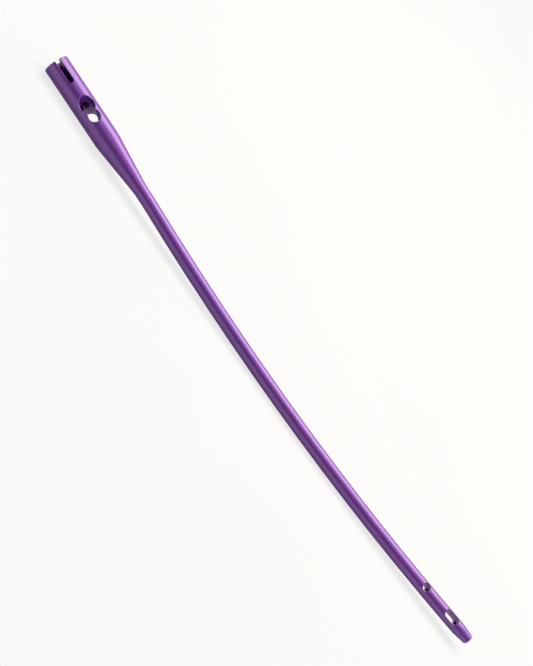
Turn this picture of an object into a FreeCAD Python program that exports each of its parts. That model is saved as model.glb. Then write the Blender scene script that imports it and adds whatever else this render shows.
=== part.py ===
import FreeCAD, Part
import Sketcher
import math
import os

# Long intramedullary nail for the right thigh bone, one piece of titanium, in millimetres.
# It is turned from bar, drilled hollow along its axis for a guide wire, bent, and then cross-drilled.
# The body's own axes: +Z towards the hip along the top of the shaft, +X towards the other leg,
# +Y to the back. Its zero point is where the sideways bend ends and the long forward bow begins.

doc = FreeCAD.newDocument("intramedullary_nail")

# Driving dimensions

DRIVING = (
    ("nail_length", 440, "along the axis, from the head's end to the tip"),
    ("head_diameter", 16, "thick upper part"),
    ("head_length", 55, "part of the head that has the full diameter"),
    ("cone_length", 40, "from the full diameter down to the shaft"),
    ("shaft_diameter", 9, "long lower part"),
    ("valgus_angle", 5, "how far the head leans outwards from the shaft"),
    ("bend_radius", 120, "of the axis, in that sideways bend"),
    ("bow_radius", 1800, "of the axis, in the long forward bow"),
    ("anteversion", 12, "turn of the head's slots and holes towards the front"),
    ("blend_radius", 40, "at both ends of the cone"),
    ("end_chamfer", 0.5, "outer edge of the head's end"),
    ("thread_bore", 8, "root diameter of the thread in the head"),
    ("thread_depth", 22, "from the head's end"),
    ("mouth_chamfer", 0.6, "lead-in of the thread"),
    ("driver_bore", 6, "from the thread down to the lag screw's hole"),
    ("guide_bore", 4, "for the guide wire, right through"),
    ("slot_width", 3.4, "slots that hold the aiming arm from turning"),
    ("slot_depth", 16.5, "of the long slot, on the inner side"),
    ("notch_depth", 3.5, "of the short slot, on the outer side"),
    ("neck_angle", 125, "between the lag screw and the shaft"),
    ("lag_place", 36.7, "of the lag screw's axis, from the head's end"),
    ("lag_diameter", 9.5, "larger lobe of the oblique hole"),
    ("pin_diameter", 7.5, "smaller lobe, for the second screw"),
    ("pin_offset", 7.1, "between the axes of the two lobes"),
    ("waist_round", 1.3, "rounding of the two ridges between the lobes"),
    ("lock_diameter", 5.2, "round locking hole and width of the oblong one"),
    ("lock_place", 44.4, "of the round locking hole, from the tip"),
    ("oblong_length", 11, "overall length of the oblong locking hole"),
    ("oblong_place", 19.3, "of the oblong hole's centre, from the tip"),
    ("tip_length", 11, "tapered end"),
    ("tip_diameter", 7.2, "tapered end, just above its rounded edge"),
    ("tip_round", 1.4, "edge of the tip"),
    ("tip_blend", 15, "where the shaft meets the tapered end"),
    ("edge_break", 0.3, "chamfer on the slots' and holes' rims"),
)

sheet = doc.addObject("Spreadsheet::Sheet", "sizes")
for row, (name, value, note) in enumerate(DRIVING, start=1):
    sheet.set(f"A{row}", name)
    sheet.set(f"B{row}", str(value))
    sheet.setAlias(f"B{row}", name)
    sheet.set(f"C{row}", note)
doc.recompute()


class Size:
    """A number together with the words that work it out from the sheet."""

    def __init__(self, value, words):
        self.value = value
        self.words = words

    def __add__(self, other):
        other = as_size(other)
        return Size(self.value + other.value, f"({self.words} + {other.words})")

    def __sub__(self, other):
        other = as_size(other)
        return Size(self.value - other.value, f"({self.words} - {other.words})")

    def __mul__(self, other):
        other = as_size(other)
        return Size(self.value * other.value, f"({self.words} * {other.words})")

    def __truediv__(self, other):
        other = as_size(other)
        return Size(self.value / other.value, f"({self.words} / {other.words})")

    def __neg__(self):
        return Size(-self.value, f"(-{self.words})")


def as_size(number):
    return number if isinstance(number, Size) else Size(float(number), str(number))


def size(name):
    return Size(float(sheet.get(name)), f"sizes.{name}")


def sine(angle):
    return Size(math.sin(math.radians(angle.value)), f"sin({angle.words})")


def cosine(angle):
    return Size(math.cos(math.radians(angle.value)), f"cos({angle.words})")


def degrees_of_arc(length, radius):
    return length / radius * (180 / math.pi)


# Sizes that several features share

head_radius = size("head_diameter") / 2
shaft_radius = size("shaft_diameter") / 2
guide_radius = size("guide_bore") / 2
tip_radius = size("tip_diameter") / 2
valgus = size("valgus_angle")
bend_radius = size("bend_radius")
bow_radius = size("bow_radius")
head_height = size("head_length") + size("cone_length")
bend_length = bend_radius * valgus * (math.pi / 180)
bow_length = size("nail_length") - head_height - bend_length - size("tip_length")
bow_angle = degrees_of_arc(bow_length, bow_radius)

body = doc.addObject("PartDesign::Body", "nail")
body.Label = "nail"


def origin_plane(role):
    return [part for part in body.Origin.OriginFeatures if part.Role == role][0]


def shift(x, y, z=0):
    """Words for a move along a sketch's own directions."""
    x, y, z = (as_size(distance).words for distance in (x, y, z))
    return f"placement(vector({x}; {y}; {z}); rotation(vector(0; 0; 1); 0))"


def turn(axis, angle):
    """Words for a turn about one of a sketch's own directions."""
    return f"placement(vector(0; 0; 0); rotation(vector({axis}); {as_size(angle).words}))"


ACROSS = "1; 0; 0"
ALONG = "0; 1; 0"
FACING = "0; 0; 1"


def new_sketch(name, role, *places):
    """A sketch on one of the body's own planes, moved and turned by the given places in order."""
    sketch = body.newObject("Sketcher::SketchObject", name)
    sketch.AttachmentSupport = [(origin_plane(role), "")]
    sketch.MapMode = "FlatFace"
    if places:
        sketch.setExpression("AttachmentOffset", " * ".join(places))
    return sketch


def bind(sketch, kind, *where):
    """A constraint whose last entry is a Size; the sheet drives it."""
    *where, amount = where
    number = sketch.addConstraint(Sketcher.Constraint(kind, *where, amount.value))
    sketch.setExpression(f"Constraints[{number}]", amount.words)


ORIGIN = -1
START, END, CENTRE = 1, 2, 3


class Guess:
    """A number that tells the sketch where to start; its other constraints fix it."""

    def __init__(self, value):
        self.value = value


def pin_point(sketch, line, end, x, y):
    """Fixes one point of a line or arc by its distances from the sketch's zero point."""
    for kind, distance in (("DistanceX", x), ("DistanceY", y)):
        if not isinstance(distance, Guess):
            bind(sketch, kind, ORIGIN, START, line, end, as_size(distance))


def circle(sketch, diameter):
    """A full circle about the sketch's zero point."""
    middle = FreeCAD.Vector(0, 0, 0)
    ring = sketch.addGeometry(Part.Circle(middle, FreeCAD.Vector(0, 0, 1), diameter.value / 2))
    bind(sketch, "Diameter", ring, diameter)
    pin_point(sketch, ring, CENTRE, 0, 0)


def arc(sketch, x, y, radius, first, last):
    """An arc from one angle to another, in radians, drawn anticlockwise and not yet fixed."""
    middle = FreeCAD.Vector(x, y, 0)
    ring = Part.Circle(middle, FreeCAD.Vector(0, 0, 1), radius)
    return sketch.addGeometry(Part.ArcOfCircle(ring, first, last))


def join_smoothly(sketch, *joins):
    for join in joins:
        sketch.addConstraint(Sketcher.Constraint("Tangent", *join))


def closed_outline(sketch, corners, bends):
    """From corner to corner and back to the first, straight or, after the corners named in bends,
    along an arc with that centre and radius. It passes smoothly through corners that are all guess."""
    points = []
    for x, y in corners:
        x, y = (place if isinstance(place, Guess) else as_size(place) for place in (x, y))
        points.append(FreeCAD.Vector(x.value, y.value, 0))
    steps = []
    for number, (here, there) in enumerate(zip(points, points[1:] + points[:1])):
        if number not in bends:
            steps.append((sketch.addGeometry(Part.LineSegment(here, there)), START, END))
            continue
        x, y, radius = bends[number]
        first, last = (math.atan2(end.y - y.value, end.x - x.value) for end in (here, there))
        swing = (last - first + math.pi) % (2 * math.pi) - math.pi
        order = (START, END) if swing > 0 else (END, START)
        ends = (first, first + swing) if swing > 0 else (first + swing, first)
        line = arc(sketch, x.value, y.value, radius.value, *ends)
        pin_point(sketch, line, CENTRE, x, y)
        bind(sketch, "Radius", line, radius)
        steps.append((line, *order))
    for before, after, (x, y) in zip(steps[-1:] + steps[:-1], steps, corners):
        smooth = isinstance(x, Guess) and isinstance(y, Guess)
        kind = "Tangent" if smooth else "Coincident"
        sketch.addConstraint(Sketcher.Constraint(kind, before[0], before[2], after[0], after[1]))
        pin_point(sketch, after[0], after[1], x, y)


def revolve(name, sketch):
    feature = body.newObject("PartDesign::Revolution", name)
    feature.Profile = sketch
    feature.ReferenceAxis = (sketch, ["V_Axis"])
    feature.Angle = 360
    doc.recompute()


def tube(name, path):
    """The shaft's cross-section, its outside and the guide wire's bore, drawn along a path."""
    section = new_sketch(f"{name}_section", "XY_Plane")
    circle(section, size("shaft_diameter"))
    circle(section, size("guide_bore"))
    feature = body.newObject("PartDesign::AdditivePipe", name)
    feature.Profile = section
    feature.Spine = (path, ["Edge1"])
    doc.recompute()


def path_from_zero(name, role, centre_x, first, last, end_y):
    """An arc through the body's zero point, about a centre level with it."""
    path = new_sketch(name, role)
    line = arc(path, centre_x.value, 0, abs(centre_x.value), first, last)
    pin_point(path, line, CENTRE, centre_x, 0)
    bind(path, "DistanceX", ORIGIN, START, line, START, as_size(0))
    bind(path, "DistanceY", ORIGIN, START, line, START, as_size(0))
    bind(path, "DistanceY", ORIGIN, START, line, END, end_y)
    return path


# Head and cone, turned about the head's own axis

bend_end = shift(-bend_radius * (as_size(1) - cosine(valgus)), bend_radius * sine(valgus))
thread_radius = size("thread_bore") / 2
driver_radius = size("driver_bore") / 2
thread_end = head_height - size("thread_depth")
driver_end = head_height - size("lag_place")
chamfer = size("end_chamfer")
mouth = size("mouth_chamfer")

blend = size("blend_radius")
cone_run = size("cone_length").value
cone_swing = 2 * blend.value - (head_radius - shaft_radius).value
cone_lean = math.asin(2 * blend.value / math.hypot(cone_run, cone_swing)) - math.atan2(cone_swing, cone_run)
blend_side = blend.value * (1 - math.cos(cone_lean))
blend_rise = blend.value * math.sin(cone_lean)

# The profile stands at right angles to the holes' side, which keeps the seam of the turned faces clear
# of every rim.
head_profile = new_sketch("head_profile", "XZ_Plane", bend_end, turn(FACING, valgus), turn(ALONG, 90))
head_blends = {
    1: (shaft_radius + blend, as_size(0), blend),
    3: (head_radius - blend, size("cone_length"), blend),
}
closed_outline(head_profile, (
    (guide_radius, 0),
    (Guess(shaft_radius.value), 0),
    (Guess(shaft_radius.value + blend_side), Guess(blend_rise)),
    (Guess(head_radius.value - blend_side), Guess(cone_run - blend_rise)),
    (Guess(head_radius.value), size("cone_length")),
    (head_radius, head_height - chamfer),
    (head_radius - chamfer, head_height),
    (thread_radius + mouth, head_height),
    (thread_radius, head_height - mouth),
    (thread_radius, thread_end),
    (driver_radius, thread_end - (thread_radius - driver_radius)),
    (driver_radius, driver_end),
    (guide_radius, driver_end - (driver_radius - guide_radius)),
), head_blends)
revolve("head", head_profile)

# Sideways bend below the cone, then the long bow of the shaft

rise = bend_radius * sine(valgus)
bend_path = path_from_zero("bend_path", "XZ_Plane", -bend_radius, 0, math.radians(valgus.value), rise)
tube("bend", bend_path)

half_turn = math.pi
drop = -bow_radius * sine(bow_angle)
bow_sweep = (half_turn, half_turn + math.radians(bow_angle.value))
bow_path = path_from_zero("bow_path", "YZ_Plane", bow_radius, *bow_sweep, drop)
tube("shaft", bow_path)


def shaft_place(from_tip):
    """Words for the place on the shaft's axis at a distance from the tip, facing along it."""
    along = degrees_of_arc(size("nail_length") - head_height - bend_length - from_tip, bow_radius)
    return (
        shift(bow_radius * (as_size(1) - cosine(along)), -bow_radius * sine(along)),
        turn(FACING, along),
    )


# Tapered tip, turned about the axis at the lower end of the bow

tip_wall = (tip_radius - guide_radius) * 0.95
tip_round = size("tip_round") if size("tip_round").value < tip_wall.value else tip_wall
tip_middle = tip_radius - tip_round
tip_drop = tip_round - size("tip_length")
tip_blend = size("tip_blend")
taper_side = (tip_middle - shaft_radius + tip_blend).value
taper_reach = math.hypot(taper_side, tip_drop.value)
taper_lean = math.asin((tip_blend - tip_round).value / taper_reach) - math.atan2(taper_side, -tip_drop.value)


def along_taper(x, y, radius):
    """Where the taper's straight line leaves an arc."""
    sideways = x.value + radius.value * math.cos(taper_lean)
    return Guess(sideways), Guess(y.value - radius.value * math.sin(taper_lean))


tip_profile = new_sketch("tip_profile", "YZ_Plane", *shaft_place(size("tip_length")))
tip_bends = {1: (shaft_radius - tip_blend, as_size(0), tip_blend), 3: (tip_middle, tip_drop, tip_round)}
closed_outline(tip_profile, (
    (guide_radius, 0),
    (Guess(shaft_radius.value), 0),
    along_taper(*tip_bends[1]),
    along_taper(*tip_bends[3]),
    (tip_middle, Guess(-size("tip_length").value)),
    (guide_radius, -size("tip_length")),
), tip_bends)
revolve("tip", tip_profile)


def same(here, there):
    return abs(here - there.value) < 0.001


def is_outside(face):
    """Whether a face belongs to the turned or drawn outside of the nail."""
    surface = face.Surface
    if isinstance(surface, Part.Cone):
        return abs(surface.SemiAngle) < math.radians(30)
    if isinstance(surface, Part.Cylinder):
        return same(surface.Radius, head_radius)
    if isinstance(surface, Part.Toroid):
        return any(same(surface.MinorRadius, radius) for radius in (shaft_radius, blend, tip_blend))
    return isinstance(surface, Part.SurfaceOfRevolution)


def is_cut(face):
    """Whether a face is the wall of a slot or a hole."""
    return isinstance(face.Surface, (Part.Cylinder, Part.Plane)) and not is_outside(face)


def cut(name, sketch, side):
    """Cuts a sketch's outline right through, on one side of its plane or on both."""
    before = body.Shape.Volume
    feature = body.newObject("PartDesign::Pocket", name)
    feature.Profile = sketch
    if side == "both":
        feature.SideType = "Symmetric"
        feature.Type = "Length"
        feature.setExpression("Length", (size("head_diameter") * 4).words)
    else:
        feature.Type = "ThroughAll"
        feature.Reversed = side == "facing"
    doc.recompute()
    if feature.Shape.Volume > before - 1:
        raise RuntimeError(f"{name} cuts nothing")


def stadium(sketch, width, low, high):
    """An upright outline with two round ends."""
    radius = width / 2
    low = low + radius
    high = high - radius
    bottom = arc(sketch, 0, low.value, radius.value, half_turn, 2 * half_turn)
    top = arc(sketch, 0, high.value, radius.value, 0, half_turn)
    pin_point(sketch, bottom, CENTRE, 0, low)
    pin_point(sketch, top, CENTRE, 0, high)
    bind(sketch, "Radius", bottom, radius)
    right_ends = (FreeCAD.Vector(radius.value, y.value, 0) for y in (low, high))
    left_ends = (FreeCAD.Vector(-radius.value, y.value, 0) for y in (high, low))
    right = sketch.addGeometry(Part.LineSegment(*right_ends))
    left = sketch.addGeometry(Part.LineSegment(*left_ends))
    join_smoothly(
        sketch,
        (bottom, END, right, START),
        (right, END, top, START),
        (top, END, left, START),
        (left, END, bottom, START),
    )


# Slots at the head's end, for the aiming arm: a long one on the inner side, a short one opposite

head_axis = (
    shift(0, bend_radius * sine(valgus), -bend_radius * (as_size(1) - cosine(valgus))),
    turn(ACROSS, -valgus),
    turn(ALONG, -size("anteversion")),
)
for name, depth, side in (("slot", "slot_depth", "facing"), ("notch", "notch_depth", "away")):
    outline = new_sketch(f"{name}_outline", "YZ_Plane", *head_axis)
    over_end = head_height + size("slot_width")
    stadium(outline, size("slot_width"), head_height - size(depth), over_end)
    cut(name, outline, side)

# Oblique hole with two lobes, for the lag screw and a second screw below it

lag_tilt = size("neck_angle") - 90 - valgus
lag_centre = shift(0, head_height - size("lag_place"))
lag_outline = new_sketch("lag_outline", "YZ_Plane", *head_axis, lag_centre, turn(ACROSS, -lag_tilt))
lag_radius = size("lag_diameter") / 2
pin_radius = size("pin_diameter") / 2
waist_radius = size("waist_round")
spread = size("pin_offset")

lag_reach = (lag_radius + waist_radius).value
pin_reach = (pin_radius + waist_radius).value
waist_drop = (lag_reach**2 - pin_reach**2 + spread.value**2) / (2 * spread.value)
waist_side = math.sqrt(lag_reach**2 - waist_drop**2)
upper = math.atan2(waist_drop, waist_side)
lower = math.atan2(spread.value - waist_drop, waist_side)

lobe_turn = (-upper, half_turn + upper)
small_turn = (half_turn - lower, 2 * half_turn + lower)
lag_lobe = arc(lag_outline, 0, 0, lag_radius.value, *lobe_turn)
pin_lobe = arc(lag_outline, 0, -spread.value, pin_radius.value, *small_turn)
left = arc(lag_outline, -waist_side, -waist_drop, waist_radius.value, -lower, upper)
right_turn = (half_turn - upper, half_turn + lower)
right = arc(lag_outline, waist_side, -waist_drop, waist_radius.value, *right_turn)
pin_point(lag_outline, lag_lobe, CENTRE, 0, 0)
pin_point(lag_outline, pin_lobe, CENTRE, 0, -spread)
bind(lag_outline, "Radius", lag_lobe, lag_radius)
bind(lag_outline, "Radius", pin_lobe, pin_radius)
bind(lag_outline, "Radius", left, waist_radius)
bind(lag_outline, "Radius", right, waist_radius)
join_smoothly(
    lag_outline,
    (lag_lobe, END, left, END),
    (left, START, pin_lobe, START),
    (pin_lobe, END, right, END),
    (right, START, lag_lobe, START),
)
cut("lag_hole", lag_outline, "both")

# Locking holes near the tip, across the bow's own plane. The round one is turned about its own axis,
# so that the seam in its wall stays away from the seam in the shaft's surface.

off_the_seam = turn(FACING, 36)
lock_place = shaft_place(size("lock_place"))
lock_outline = new_sketch("lock_outline", "YZ_Plane", *lock_place, off_the_seam)
circle(lock_outline, size("lock_diameter"))
cut("lock_hole", lock_outline, "both")

oblong_outline = new_sketch("oblong_outline", "YZ_Plane", *shaft_place(size("oblong_place")))
half_length = size("oblong_length") / 2
stadium(oblong_outline, size("lock_diameter"), -half_length, half_length)
cut("oblong_hole", oblong_outline, "both")


# Broken edges on all rims, where a wall of a slot or hole meets the outside


def is_rim(faces):
    if len(faces) != 2:
        return False
    one, other = faces
    return (is_outside(one) and is_cut(other)) or (is_outside(other) and is_cut(one))


drilled = body.Tip
rims = []
for number, edge in enumerate(drilled.Shape.Edges, start=1):
    if is_rim(drilled.Shape.ancestorsOfType(edge, Part.Face)):
        rims.append(f"Edge{number}")
chamfered = body.newObject("PartDesign::Chamfer", "rims")
chamfered.Base = (drilled, rims)
chamfered.setExpression("Size", size("edge_break").words)
doc.recompute()

# Lying at rest: the pose in which the middle of its mass is lowest, inner and rear side up


def axis_at(station):
    """Point and direction towards the tip of the nail's axis, at a distance from the head's end."""
    bow_start = (head_height + bend_length).value
    lean = math.radians(valgus.value) * min(1, max(0, (bow_start - station) / bend_length.value))
    bow = max(0, station - bow_start) / bow_radius.value
    straight = max(0, head_height.value - station)
    x = -bend_radius.value * (1 - math.cos(lean)) - straight * math.sin(lean)
    y = bow_radius.value * (1 - math.cos(bow))
    z = bend_radius.value * math.sin(lean) + straight * math.cos(lean) - bow_radius.value * math.sin(bow)
    towards_tip = FreeCAD.Vector(math.sin(lean), math.sin(bow), -math.cos(lean + bow))
    return FreeCAD.Vector(x, y, z), towards_tip


def outer_radius(station):
    """The nail's radius at a distance from the head's end, read off the turned outline."""
    length = size("nail_length").value
    outline = (
        (0, head_radius - chamfer),
        (chamfer.value, head_radius),
        (size("head_length").value, head_radius),
        (head_height.value, shaft_radius),
        (length - size("tip_length").value, shaft_radius),
        (length, tip_radius),
    )
    for (start, wide), (stop, narrow) in zip(outline, outline[1:]):
        if station <= stop:
            return wide.value + (narrow - wide).value * (station - start) / (stop - start)
    return tip_radius.value


middle = body.Shape.Solids[0].CenterOfMass
length = size("nail_length").value
rings = [(*axis_at(length * step / 400), outer_radius(length * step / 400)) for step in range(401)]


def up_at(roll, pitch):
    flat = math.cos(pitch)
    return FreeCAD.Vector(flat * math.cos(roll), flat * math.sin(roll), math.sin(pitch))


def height_of_middle(up):
    """Height of the middle of mass over a floor that touches the nail, for a direction taken as up."""
    return max(
        radius * math.sqrt(1 - up.dot(direction) ** 2) - up.dot(point - middle)
        for point, direction, radius in rings
    )


def lowest(height, low, high):
    """The place of a valley between two limits, which close in on it from both sides."""
    for _ in range(30):
        third = (high - low) / 3
        if height(low + third) < height(high - third):
            high = high - third
        else:
            low = low + third
    return (low + high) / 2


def best_pitch(roll):
    return lowest(lambda pitch: height_of_middle(up_at(roll, pitch)), -0.15, 0.15)


roll = lowest(lambda roll: height_of_middle(up_at(roll, best_pitch(roll))), 0.3, 1)
up = up_at(roll, best_pitch(roll))
chord = rings[-1][0] - rings[0][0]
along = (chord - up * chord.dot(up)).normalize()
rotation = FreeCAD.Rotation(along, up.cross(along), up, "ZXY").inverted()
turned = body.Shape.copy()
turned.Placement = FreeCAD.Placement(FreeCAD.Vector(0, 0, 0), rotation)
box = turned.optimalBoundingBox(False)
body.Placement = FreeCAD.Placement(FreeCAD.Vector(-box.Center.x, -box.Center.y, -box.ZMin), rotation)

# Checks, then the part is written out

doc.recompute()
for item in doc.Objects:
    if "Invalid" in item.State or "Error" in item.State:
        raise RuntimeError(f"{item.Name} failed: {item.State}")
if body.Shape.isNull() or not body.Shape.isValid() or len(body.Shape.Solids) != 1:
    raise RuntimeError("the nail is not one sound solid")
print("volume", round(body.Shape.Volume, 1), "up", up, "height of middle", round(height_of_middle(up), 3))

os.makedirs("parts", exist_ok=True)
body.Shape.exportStep("parts/nail.step")
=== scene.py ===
# %% [markdown]
# # An intramedullary nail, lying on a pale table
#
# A long nail for the marrow space of a thigh bone, in one piece of titanium. Its shape comes from
# the CAD model, which is loaded as it is and never changed here. This lesson gives it its finish,
# adds the screw thread inside its head, and sets up the floor, the light and the camera.
# Everything is in metres, with Z up.

# %% Load the model
import math

import bmesh
import bpy
from mathutils import Matrix, Vector


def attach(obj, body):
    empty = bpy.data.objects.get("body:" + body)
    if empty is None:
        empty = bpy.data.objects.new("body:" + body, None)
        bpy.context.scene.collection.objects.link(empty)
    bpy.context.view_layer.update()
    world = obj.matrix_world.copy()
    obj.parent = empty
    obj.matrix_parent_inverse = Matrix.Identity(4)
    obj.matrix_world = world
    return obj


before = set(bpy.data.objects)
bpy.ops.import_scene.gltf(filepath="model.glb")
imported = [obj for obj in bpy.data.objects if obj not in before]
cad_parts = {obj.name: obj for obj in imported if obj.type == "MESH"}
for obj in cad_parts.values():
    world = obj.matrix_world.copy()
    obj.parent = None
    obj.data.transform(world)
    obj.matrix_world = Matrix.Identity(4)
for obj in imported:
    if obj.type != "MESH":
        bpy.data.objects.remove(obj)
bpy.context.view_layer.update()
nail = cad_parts["nail"]
print("nail:", len(nail.data.polygons), "faces")

# %% [markdown]
# Two small helpers keep the shader cells short. A shader is a graph of nodes. `add_node` makes one
# node and fills in its sockets, either with a plain value or with a link from another node.

# %% Helpers for shader nodes


def add_node(tree, kind, settings=None, **sockets):
    """One shader node. Sockets are named by their names in lower case with _ for a space."""
    node = tree.nodes.new(kind)
    for name, value in (settings or {}).items():
        setattr(node, name, value)
    for socket in node.inputs:
        key = socket.name.lower().replace(" ", "_")
        if key not in sockets or not socket.enabled:
            continue
        value = sockets.pop(key)
        if isinstance(value, bpy.types.NodeSocket):
            tree.links.new(value, socket)
        else:
            socket.default_value = value
    if sockets:
        raise ValueError(f"{kind} has no socket {sorted(sockets)}")
    return node


def noise(tree, where, scale, detail=3.0, roughness=0.5):
    """A soft random pattern from 0 to 1 at a place in the object's own space."""
    node = add_node(
        tree, "ShaderNodeTexNoise", vector=where, scale=scale, detail=detail, roughness=roughness,
    )
    return node.outputs[0]


def remap(tree, value, low, high, to_low, to_high):
    """Stretches a number from one range to another, and stops it at the new limits."""
    node = add_node(
        tree, "ShaderNodeMapRange",
        value=value, from_min=low, from_max=high, to_min=to_low, to_max=to_high,
    )
    return node.outputs[0]


def new_tree(name):
    """A new material and its empty graph of nodes."""
    material = bpy.data.materials.new(name)
    material.use_nodes = True
    material.node_tree.nodes.clear()
    return material, material.node_tree


# %% [markdown]
# ## Anodised titanium
#
# Anodising grows a clear film of titanium oxide on the metal. The film is about as thick as a wave
# of light is long, and it is this that makes the violet. So the shader is a metal with a violet
# colour under a thin coat. The coat has the high refractive index of titanium oxide, 2.4, and that
# lays a paler shine over the violet where the light is strong.
#
# The film is never equally thick everywhere. A slow noise along the nail moves the colour a little
# between bluer and pinker, and a finer one makes small cloudy patches.
#
# Before it is anodised, the nail is blasted with fine beads. A very fine bump gives that satin
# grain, and faint long streaks in the roughness are what is left of polishing along the nail.

# %% Anodised finish


def anodised(name, violet, pinker, bluer, grain_depth):
    """Satin titanium with a coloured oxide film."""
    material, tree = new_tree(name)
    place = add_node(tree, "ShaderNodeTexCoord").outputs["Object"]

    along = add_node(tree, "ShaderNodeMapping", vector=place, scale=(18, 60, 60)).outputs[0]
    slow = remap(tree, noise(tree, along, 1.0, detail=2.0), 0.3, 0.7, 0.0, 1.0)
    clouds = remap(tree, noise(tree, place, 420.0, detail=4.0), 0.35, 0.65, 0.0, 1.0)

    tint = add_node(
        tree, "ShaderNodeMix", {"data_type": "RGBA"}, factor=slow, a=(*bluer, 1), b=(*pinker, 1),
    ).outputs[2]
    patch = remap(tree, clouds, 0.0, 1.0, 0.25, 0.6)
    colour = add_node(
        tree, "ShaderNodeMix", {"data_type": "RGBA"}, factor=patch, a=(*violet, 1), b=tint,
    ).outputs[2]

    lengthwise = add_node(tree, "ShaderNodeMapping", vector=place, scale=(60, 2600, 2600)).outputs[0]
    streaks = noise(tree, lengthwise, 1.0, detail=5.0, roughness=0.65)
    smooth = remap(tree, streaks, 0.3, 0.7, 0.55, 0.63)
    worn = remap(tree, clouds, 0.0, 1.0, -0.015, 0.02)
    rough = add_node(tree, "ShaderNodeMath", {"operation": "ADD"})
    tree.links.new(smooth, rough.inputs[0])
    tree.links.new(worn, rough.inputs[1])

    grain = noise(tree, place, 5200.0, detail=3.0, roughness=0.6)
    bump = add_node(tree, "ShaderNodeBump", strength=0.12, distance=grain_depth, height=grain).outputs[0]

    surface = add_node(
        tree,
        "ShaderNodeBsdfPrincipled",
        base_color=colour,
        metallic=1.0,
        roughness=rough.outputs[0],
        normal=bump,
        coat_weight=0.4,
        coat_roughness=0.22,
        coat_ior=2.4,
        coat_normal=bump,
    )
    add_node(tree, "ShaderNodeOutputMaterial", surface=surface.outputs[0])
    return material


VIOLET = (0.158, 0.021, 0.305)
PINKER = (0.190, 0.026, 0.290)
BLUER = (0.130, 0.021, 0.330)
skin = anodised("anodised_titanium_violet", VIOLET, PINKER, BLUER, grain_depth=0.00002)
for slot in nail.material_slots:
    slot.material = skin
print("finish:", skin.name)

# %% [markdown]
# ## The thread in the head
#
# The head is bored out and tapped for the aiming arm and later for the end cap. The CAD model has
# the plain bore at the thread's root. The ridge that winds down it is made here, from a cutter's
# outline that is spun round the bore while it moves along it, one pitch each turn. `spin` does
# both at once, because `dvec` moves every step.
#
# It is built upright about its own Z axis, with Z as the depth from the head's end, X across the
# slots and Y towards the inner side of the leg. A matrix then lays it into the head.

# %% Ridge of the thread
MM = 0.001
HEAD_END = Vector((-219.204, 4.349, 7.993)) * MM
ACROSS_SLOTS = Vector((0.05255, 0.64596, 0.76156))
INWARDS = Vector((-0.08251, -0.75720, 0.64796))
DOWN_THE_HEAD = Vector((0.99520, -0.09688, 0.01351))

PITCH = 1.0 * MM
ROOT = 4.03 * MM
CREST = 3.46 * MM
ROOT_WIDTH = 0.86 * MM
CREST_WIDTH = 0.25 * MM
FIRST_TURN = 1.15 * MM
TURNS = 20
STEPS = 48

ridge = bmesh.new()
corners = [
    ridge.verts.new((radius, 0, FIRST_TURN + side * width / 2))
    for radius, width, side in (
        (ROOT, ROOT_WIDTH, -1),
        (CREST, CREST_WIDTH, -1),
        (CREST, CREST_WIDTH, 1),
        (ROOT, ROOT_WIDTH, 1),
    )
]
outline = ridge.faces.new(corners)
bmesh.ops.spin(
    ridge,
    geom=list(outline.verts) + list(outline.edges) + [outline],
    cent=(0, 0, 0),
    axis=(0, 0, 1),
    dvec=(0, 0, PITCH / STEPS),
    angle=2 * math.pi * TURNS,
    steps=STEPS * TURNS,
)
print("ridge:", len(ridge.faces), "faces in", TURNS, "turns")

# %% [markdown]
# The slots for the aiming arm cut through the head's wall, and so through the thread. The ridge is
# sliced along both walls of the slots, what lies inside the slots is deleted, and the cut ends are
# closed again, so that every piece of ridge stays a solid.

# %% Gaps where the slots pass
SLOT_HALF = 1.7 * MM
LONG_SLOT = 16.5 * MM
SHORT_SLOT = 3.5 * MM


def in_slot(point):
    """Whether a place in the ridge's own space lies in a slot, which ends in a half circle."""
    depth = LONG_SLOT if point.y > 0 else SHORT_SLOT
    below = max(0.0, point.z - (depth - SLOT_HALF))
    return math.hypot(point.x, below) < SLOT_HALF


for wall in (-SLOT_HALF, SLOT_HALF):
    everything = ridge.verts[:] + ridge.edges[:] + ridge.faces[:]
    bmesh.ops.bisect_plane(ridge, geom=everything, plane_co=(wall, 0, 0), plane_no=(1, 0, 0))
gone = [face for face in ridge.faces if in_slot(face.calc_center_median())]
bmesh.ops.delete(ridge, geom=gone, context="FACES")
bmesh.ops.holes_fill(ridge, edges=[edge for edge in ridge.edges if edge.is_boundary], sides=0)
bmesh.ops.recalc_face_normals(ridge, faces=ridge.faces[:])
open_edges = sum(not edge.is_manifold for edge in ridge.edges)
print("ridge after the slots:", len(ridge.faces), "faces,", open_edges, "open edges")

# %% [markdown]
# The columns of the matrix are the head's own directions in the room. A mesh object made from the
# finished ridge stays at the origin, as the nail does, so its place is in its vertices.

# %% The thread as a piece of the model
head_turn = Matrix((ACROSS_SLOTS, INWARDS, DOWN_THE_HEAD)).transposed()
into_head = Matrix.Translation(HEAD_END) @ head_turn.to_4x4()
bmesh.ops.transform(ridge, matrix=into_head, verts=ridge.verts[:])
mesh = bpy.data.meshes.new("head_thread")
ridge.to_mesh(mesh)
ridge.free()
mesh.shade_smooth()
mesh.set_sharp_from_angle(angle=math.radians(30))

thread = bpy.data.objects.new("head_thread", mesh)
bpy.context.scene.collection.objects.link(thread)
THREAD_VIOLET = (0.150, 0.045, 0.25)
thread_skin = anodised("anodised_titanium_thread", THREAD_VIOLET, PINKER, BLUER, grain_depth=0.00001)
mesh.materials.append(thread_skin)
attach(thread, "root")
print("thread:", len(mesh.polygons), "faces")

# %% [markdown]
# ## Floor
#
# A wide pale floor, so that no edge of it shows in a low view. It is lit like everything else and
# takes the nail's shadow. A matt floor on its own would come out grey, so a share of plain white is
# mixed in where the camera sees it, and a smaller share where the metal mirrors it. That share is
# large enough for a clean background and small enough to leave the shadow in. A slow, faint noise
# keeps the paint from being perfectly even.

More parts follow.
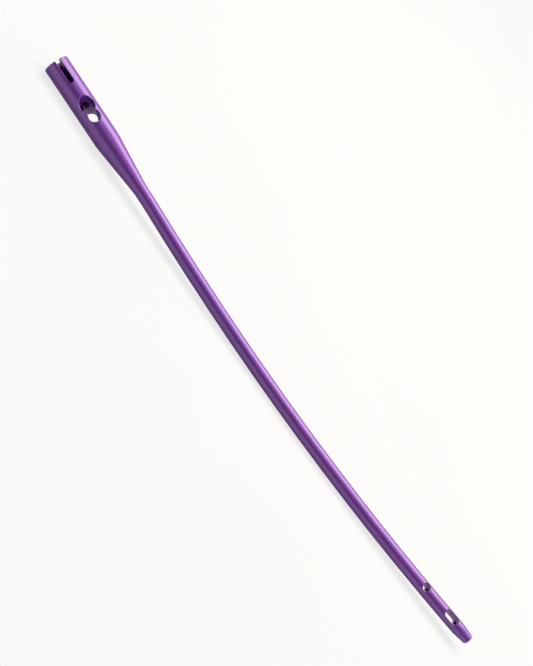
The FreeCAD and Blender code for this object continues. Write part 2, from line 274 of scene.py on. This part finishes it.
# %% Pale floor
FLOOR_HALF = 8.0
floor_form = bmesh.new()
bmesh.ops.create_grid(floor_form, x_segments=1, y_segments=1, size=FLOOR_HALF)
floor_mesh = bpy.data.meshes.new("floor")
floor_form.to_mesh(floor_mesh)
floor_form.free()
floor = bpy.data.objects.new("floor", floor_mesh)
bpy.context.scene.collection.objects.link(floor)

WHITENING = 0.78
MIRRORED_WHITENING = 0.3
PLAIN_WHITE = 0.985
DULLEST_PAINT = 0.82
PALEST_PAINT = 0.86
table_top, tree = new_tree("pale_floor")
seen = add_node(tree, "ShaderNodeLightPath")
direct = remap(tree, seen.outputs["Is Camera Ray"], 0.0, 1.0, 0.0, WHITENING)
mirrored = remap(tree, seen.outputs["Is Glossy Ray"], 0.0, 1.0, 0.0, MIRRORED_WHITENING)
either = add_node(tree, "ShaderNodeMath", {"operation": "MAXIMUM"})
tree.links.new(direct, either.inputs[0])
tree.links.new(mirrored, either.inputs[1])
share = either.outputs[0]
floor_place = add_node(tree, "ShaderNodeTexCoord").outputs["Object"]
shade = remap(tree, noise(tree, floor_place, 9.0), 0.3, 0.7, DULLEST_PAINT, PALEST_PAINT)
paint = add_node(tree, "ShaderNodeBsdfDiffuse", color=shade)
white = add_node(tree, "ShaderNodeEmission", color=(1, 1, 1, 1), strength=PLAIN_WHITE)
blend = add_node(tree, "ShaderNodeMixShader", {"label": "white share"}, fac=share)
tree.links.new(paint.outputs[0], blend.inputs[1])
tree.links.new(white.outputs[0], blend.inputs[2])
add_node(tree, "ShaderNodeOutputMaterial", surface=blend.outputs[0])
floor_mesh.materials.append(table_top)
print("floor:", 2 * FLOOR_HALF, "m wide")

# %% [markdown]
# ## Light
#
# A round bar of satin metal shows the room as stripes along its length. One large softbox overhead
# draws the broad pale stripe on the upper side. It is a little warm, which turns the stripe from
# blue to mauve. The floor gives the middle tone low on the near side.
#
# Between the two lies a dark stripe, which is the dim part of the studio behind the camera. A dark
# screen stands there for it. It is a painted reflection: a sheet that glows dimly and a little unevenly
# and is seen only in reflections, so it puts the dark stripe into the metal and takes no light from the
# nail.
#
# The world is white to the camera and in reflections, but lights the scene at only about a third of
# that, so that the softbox still casts a shadow.

# %% Softbox, screen and room


def aim(thing, place, target):
    """Puts a thing at a place, with its own -Z pointing at the target, as lamps and cameras look."""
    thing.location = place
    thing.rotation_euler = (Vector(target) - Vector(place)).to_track_quat("-Z", "Y").to_euler()


def softbox(name, place, target, width, depth, power, colour):
    """A flat lamp of a width and a depth, which the camera does not see."""
    lamp = bpy.data.lights.new(name, "AREA")
    lamp.shape = "RECTANGLE"
    lamp.size = width
    lamp.size_y = depth
    lamp.energy = power
    lamp.color = colour
    box = bpy.data.objects.new(name, lamp)
    bpy.context.scene.collection.objects.link(box)
    aim(box, place, target)
    box.visible_camera = False
    return box


WARM_WHITE = (1, 0.96, 0.82)
softbox("overhead_softbox", (0.12, 0.55, 1.4), (0.12, 0, 0), 1.5, 1.15, power=23, colour=WARM_WHITE)

screen_form = bmesh.new()
bmesh.ops.create_grid(screen_form, x_segments=1, y_segments=1, size=0.5)
bmesh.ops.scale(screen_form, vec=(6, 2.4, 1), verts=screen_form.verts[:])
screen_mesh = bpy.data.meshes.new("dark_screen")
screen_form.to_mesh(screen_mesh)
screen_form.free()
screen = bpy.data.objects.new("dark_screen", screen_mesh)
bpy.context.scene.collection.objects.link(screen)
aim(screen, (0, -2.0, 1.25), (0, 0, 1.25))
for ray in ("camera", "diffuse", "transmission", "shadow", "volume_scatter"):
    setattr(screen, f"visible_{ray}", False)
dim_glow_material, tree = new_tree("dark_screen_cloth")
screen_place = add_node(tree, "ShaderNodeTexCoord").outputs["Object"]
# Painted reflection: the screen's dim glow, made slightly uneven by a slow noise, is what the metal
# mirrors as its dark stripe.
uneven_dim_glow = remap(tree, noise(tree, screen_place, 3.0), 0.3, 0.7, 0.2, 0.3)
dim = add_node(tree, "ShaderNodeEmission", color=(1, 1, 1, 1), strength=uneven_dim_glow)
add_node(tree, "ShaderNodeOutputMaterial", surface=dim.outputs[0])
screen_mesh.materials.append(dim_glow_material)

ROOM_LIGHT = 0.35
room = bpy.data.worlds.new("room")
bpy.context.scene.world = room
room.use_nodes = True
tree = room.node_tree
tree.nodes.clear()
path = add_node(tree, "ShaderNodeLightPath")
clear_ray = path.outputs["Is Camera Ray"]
for kind in ("Is Glossy Ray", "Is Transmission Ray"):
    widest = add_node(tree, "ShaderNodeMath", {"operation": "MAXIMUM"})
    tree.links.new(clear_ray, widest.inputs[0])
    tree.links.new(path.outputs[kind], widest.inputs[1])
    clear_ray = widest.outputs[0]
level = remap(tree, clear_ray, 0.0, 1.0, ROOM_LIGHT, 1.0)
sky = add_node(tree, "ShaderNodeBackground", color=(1, 1, 1, 1), strength=level)
add_node(tree, "ShaderNodeOutputWorld", surface=sky.outputs[0])

# %% [markdown]
# ## Camera
#
# A long lens from about 1.2 m away, looking down at 25 degrees and rolled so that the nail stands
# upright in the picture. A camera's place and turn can be worked out from an object of known
# shape: the nail's ends, holes and curve fix both.

# %% Camera
lens = bpy.data.cameras.new("camera")
lens.sensor_width = 36
lens.lens = 109.57
camera = bpy.data.objects.new("camera", lens)
bpy.context.scene.collection.objects.link(camera)
camera.location = (-0.104691, -1.125558, 0.533965)
camera.rotation_euler = [math.radians(turn) for turn in (50.4477, -49.4657, 27.3655)]
bpy.context.scene.camera = camera
bpy.context.scene.view_settings.view_transform = "Standard"
print("camera:", tuple(round(value, 3) for value in camera.location))
